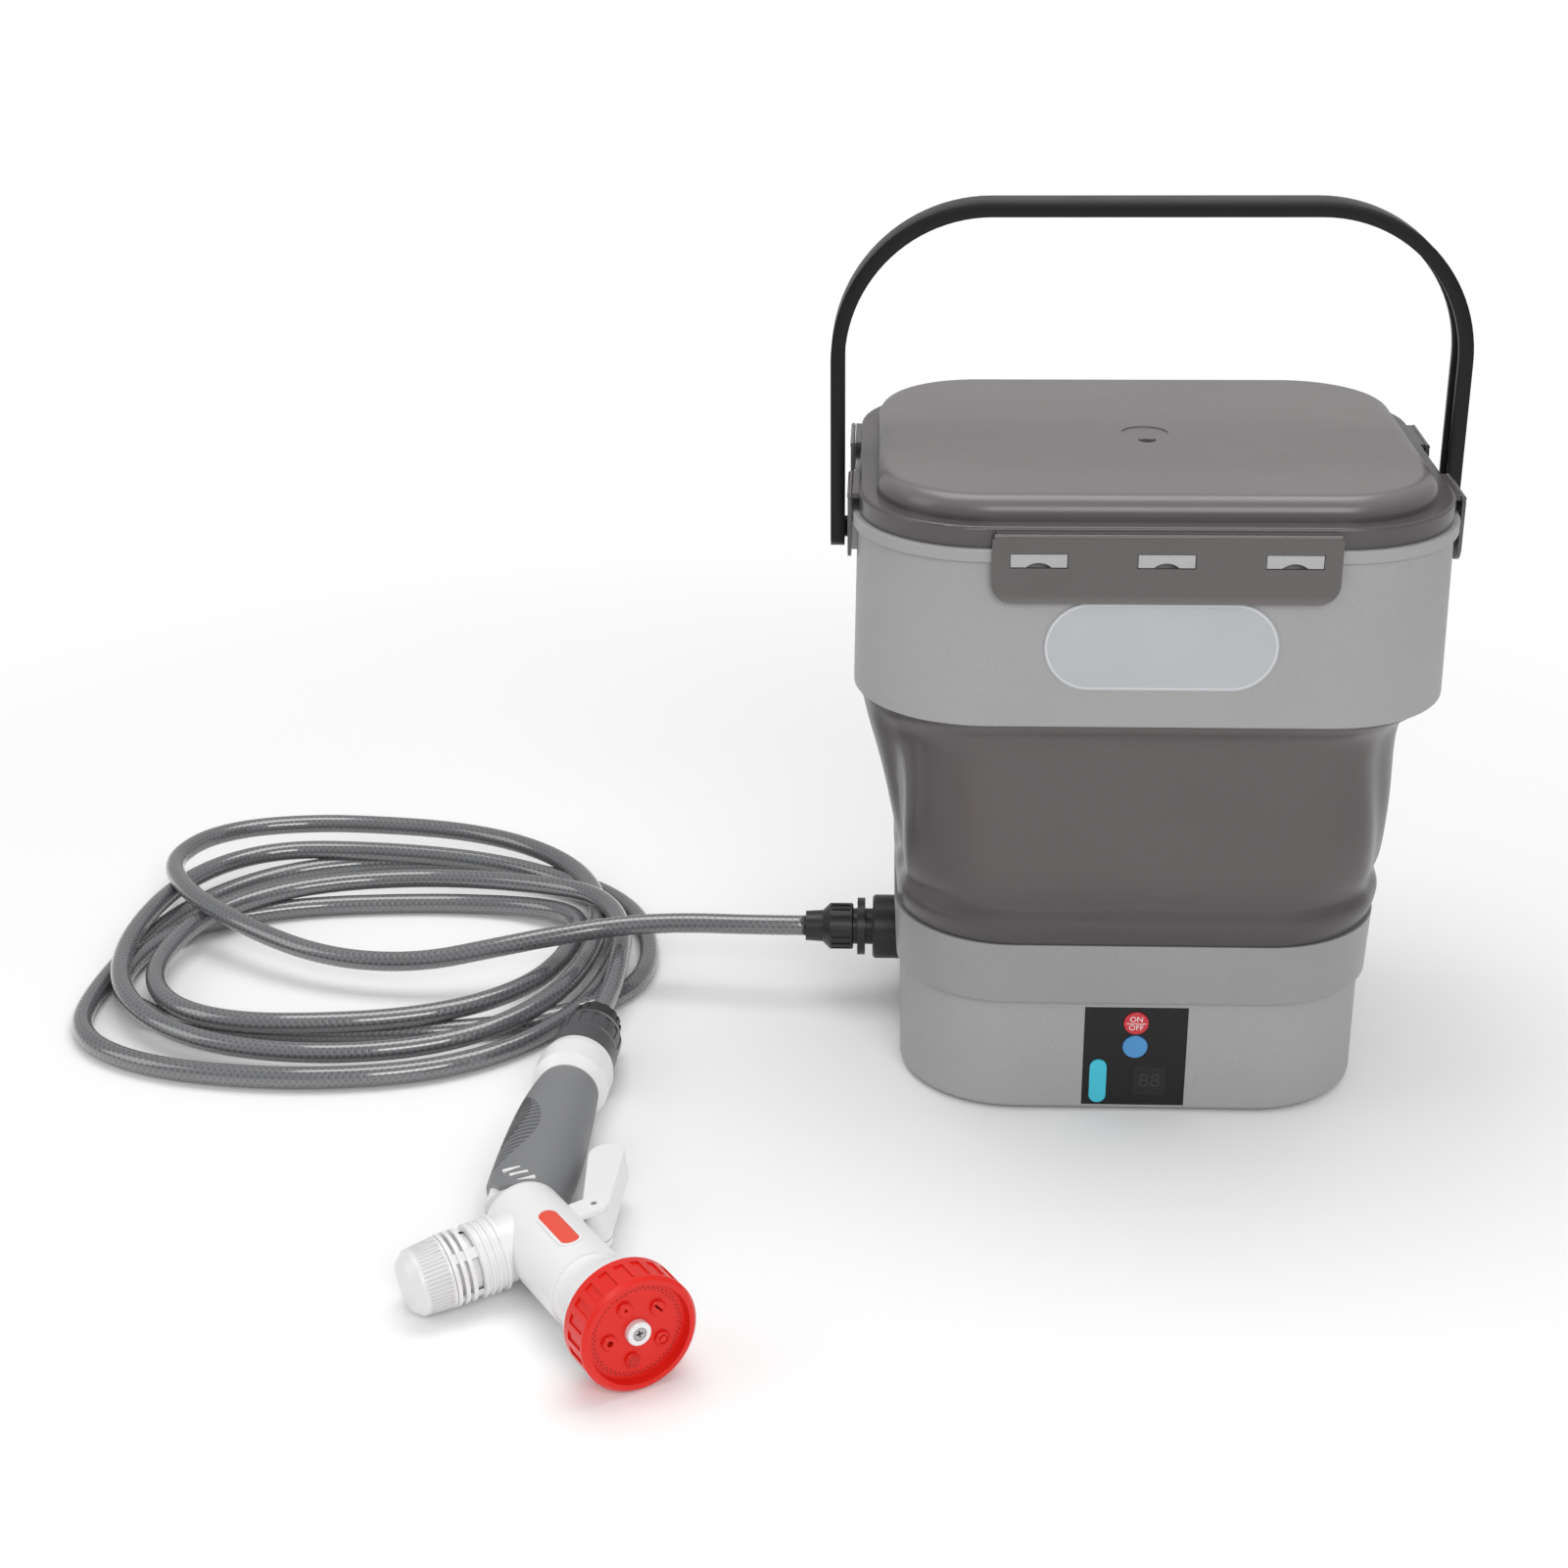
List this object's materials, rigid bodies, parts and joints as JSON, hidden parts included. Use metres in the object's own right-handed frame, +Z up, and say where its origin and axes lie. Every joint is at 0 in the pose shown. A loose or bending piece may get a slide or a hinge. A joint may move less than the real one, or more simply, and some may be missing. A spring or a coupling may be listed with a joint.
{
  "type": "portable pressure washer",
  "caption": "Collapsible rectangular bucket on an electric pump base with clip lid and bail handle, a loose coil of hose and a spray gun with a dial nozzle.",
  "frame": {"origin": "centre of the bucket's footprint on the floor", "axes": "+Z up, -Y towards the front with the control panel, -X towards the water outlet and hose"},
  "size_m": [0.747, 0.6038, 0.459],
  "materials": {
    "grey_pp": "fine moulded grey polypropylene",
    "soft_grey": "soft satin dark grey, slightly translucent",
    "smoky_lid": "smoky translucent plastic",
    "black_plastic": "black, satin",
    "black_panel": "black, glossy",
    "dark_window": "dark display window",
    "red_button": "translucent red",
    "blue_button": "translucent blue",
    "cyan_rubber": "soft cyan",
    "brushed_silver": "brushed silver",
    "rubber": "dark soft rubber",
    "steel": "bright zinc plated",
    "board": "green circuit board",
    "clear_tube": "clear soft tube",
    "cell_wrap": "blue cell wrap",
    "hose": "grey braid under a clear skin",
    "white_plastic": "white, satin gloss",
    "grip_grey": "soft grey rubber",
    "red_dial": "bright red",
    "red_label": "orange red"
  },
  "bodies": {
    "base": {"base_shell": "grey_pp", "base_plate": "grey_pp", "foot_ring": "rubber", "base_screws": "steel", "panel_plate": "black_panel", "display_window": "dark_window", "charge_socket": "black_plastic", "circuit_board": "board", "tact_switches": "black_plastic", "display_module": "black_plastic", "pump_head": "black_plastic", "motor_can": "steel", "inlet_tube": "clear_tube", "outlet_tube": "clear_tube", "strainer": "black_plastic", "battery_cells": "cell_wrap", "battery_tray": "black_plastic", "bucket_cup": "grey_pp", "soft_sleeve": "soft_grey", "outlet_socket": "black_plastic", "outlet_adaptor": "black_plastic", "bucket_nut": "black_plastic", "hose_lead": "hose", "hose_coil": "hose", "hose_tail": "hose", "coupler_body": "black_plastic", "gun_nut": "black_plastic"},
    "power_button": {"power_button": "red_button"},
    "speed_button": {"speed_button": "blue_button"},
    "charge_plug": {"charge_plug": "cyan_rubber"},
    "motor_shaft": {"motor_shaft": "steel"},
    "band": {"top_band": "grey_pp", "label_plate": "brushed_silver"},
    "handle": {"handle": "black_plastic"},
    "lid": {"lid_shell": "smoky_lid", "lid_seal": "rubber"},
    "front_clip": {"front_clip": "smoky_lid"},
    "back_clip": {"back_clip": "smoky_lid"},
    "left_front_clip": {"left_front_clip": "smoky_lid"},
    "left_back_clip": {"left_back_clip": "smoky_lid"},
    "right_front_clip": {"right_front_clip": "smoky_lid"},
    "right_back_clip": {"right_back_clip": "smoky_lid"},
    "coupler_sleeve": {"coupler_sleeve": "black_plastic"},
    "gun": {"tail_plug": "white_plastic", "tail_ring": "white_plastic", "gun_upper_half": "white_plastic", "gun_lower_half": "white_plastic", "grip_pad": "grip_grey", "gun_screws": "steel", "nozzle_cone": "white_plastic", "dial_hub": "white_plastic", "hub_screw": "steel", "gun_label": "red_label", "bottle_port": "white_plastic", "trigger_pin": "steel"},
    "trigger": {"gun_trigger": "white_plastic"},
    "valve_stem": {"valve_stem": "steel"},
    "dial_head": {"dial_head": "red_dial"},
    "port_cap": {"port_cap": "white_plastic"}
  },
  "joints": [
    {"name": "power_press", "type": "slide", "parent": "base", "child": "power_button", "axis": [0, 1, 0], "range_m": [0, 0.0012], "stiffness_N_per_m": 800, "springref_m": -0.001},
    {"name": "speed_press", "type": "slide", "parent": "base", "child": "speed_button", "axis": [0, 1, 0], "range_m": [0, 0.0012], "stiffness_N_per_m": 800, "springref_m": -0.001},
    {"name": "charge_plug_pull", "type": "slide", "parent": "base", "child": "charge_plug", "axis": [0, -1, 0], "range_m": [0, 0.012]},
    {"name": "motor_turn", "type": "hinge", "parent": "base", "child": "motor_shaft", "pos_m": [-0.075, 0.06, 0.036], "axis": [0, 1, 0], "continuous": true},
    {"name": "bucket_collapse", "type": "slide", "parent": "base", "child": "band", "axis": [0, 0, 1], "range_m": [-0.158, 0], "deforming": ["soft_sleeve"]},
    {"name": "handle_swing", "type": "hinge", "parent": "band", "child": "handle", "pos_m": [0, 0, 0.2883], "axis": [1, 0, 0], "range_deg": [-125, 125]},
    {"name": "lid_lift", "type": "slide", "parent": "band", "child": "lid", "axis": [0, 0, 1], "range_m": [0, 0.06]},
    {"name": "front_clip_turn", "type": "hinge", "parent": "lid", "child": "front_clip", "pos_m": [0, -0.1298, 0.3245], "axis": [-1, 0, 0], "range_deg": [0, 110]},
    {"name": "back_clip_turn", "type": "hinge", "parent": "lid", "child": "back_clip", "pos_m": [0, 0.1298, 0.3245], "axis": [1, 0, 0], "range_deg": [0, 110]},
    {"name": "left_front_clip_turn", "type": "hinge", "parent": "lid", "child": "left_front_clip", "pos_m": [-0.1503, -0.046, 0.3245], "axis": [0, 1, 0], "range_deg": [0, 110]},
    {"name": "left_back_clip_turn", "type": "hinge", "parent": "lid", "child": "left_back_clip", "pos_m": [-0.1503, 0.046, 0.3245], "axis": [0, 1, 0], "range_deg": [0, 110]},
    {"name": "right_front_clip_turn", "type": "hinge", "parent": "lid", "child": "right_front_clip", "pos_m": [0.1503, -0.046, 0.3245], "axis": [0, -1, 0], "range_deg": [0, 110]},
    {"name": "right_back_clip_turn", "type": "hinge", "parent": "lid", "child": "right_back_clip", "pos_m": [0.1503, 0.046, 0.3245], "axis": [0, -1, 0], "range_deg": [0, 110]},
    {"name": "coupler_release", "type": "slide", "parent": "base", "child": "coupler_sleeve", "axis": [0.0902, 0.9959, -0.006], "range_m": [0, 0.003], "stiffness_N_per_m": 900, "springref_m": -0.003},
    {"name": "gun_pull_off", "type": "slide", "parent": "base", "child": "gun", "axis": [-0.0902, -0.9959, 0.006], "range_m": [0, 0.04]},
    {"name": "trigger_squeeze", "type": "hinge", "parent": "gun", "child": "trigger", "pos_m": [-0.26602, -0.2559, 0.02413], "axis": [-0.099, 0.0149, 0.995], "range_deg": [0, 6.5], "stiffness_Nm_per_rad": 0.8, "springref_deg": -8.59},
    {"name": "valve_slide", "type": "slide", "parent": "gun", "child": "valve_stem", "axis": [-0.8485, -0.5237, -0.0766], "range_m": [0, 0.0019]},
    {"name": "dial_turn", "type": "hinge", "parent": "gun", "child": "dial_head", "pos_m": [-0.24645, -0.33294, 0.02723], "axis": [0.5199, -0.8518, 0.0645], "continuous": true},
    {"name": "port_cap_turn", "type": "hinge", "parent": "gun", "child": "port_cap", "pos_m": [-0.33372, -0.28889, 0.01789], "axis": [-0.8485, -0.5237, -0.0766], "continuous": true}
  ],
  "couplings": [
    {"joint": "valve_slide", "follows": "trigger_squeeze", "m_per_rad": 0.016}
  ]
}
